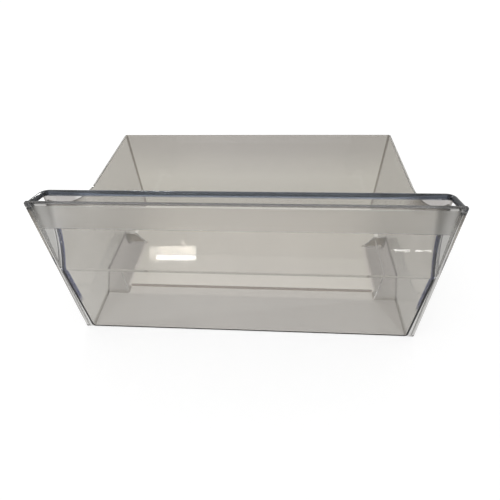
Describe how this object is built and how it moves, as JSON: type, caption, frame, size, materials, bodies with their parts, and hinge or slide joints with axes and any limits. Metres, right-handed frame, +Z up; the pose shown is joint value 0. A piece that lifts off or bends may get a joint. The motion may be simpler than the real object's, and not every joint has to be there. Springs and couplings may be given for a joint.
{
  "type": "fridge drawer",
  "caption": "Clear moulded fridge drawer: an open tray with a tall front panel, a finger channel behind its upper half, swept side rims and raised floor pads.",
  "frame": {"origin": "middle of the footprint at the level of the underside", "axes": "+Z up, -Y out of the face of the front panel, +X across the drawer, to the right of someone who faces the panel"},
  "size_m": [0.43, 0.28, 0.204],
  "materials": {
    "clear_tray": "clear polystyrene, lightly smoked, polished faces",
    "clear_panel": "clear polystyrene, lightly smoked, with a frosted band near the top"
  },
  "bodies": {
    "root": {"drawer_body": "clear_tray", "front_panel": "clear_panel"}
  },
  "joints": []
}
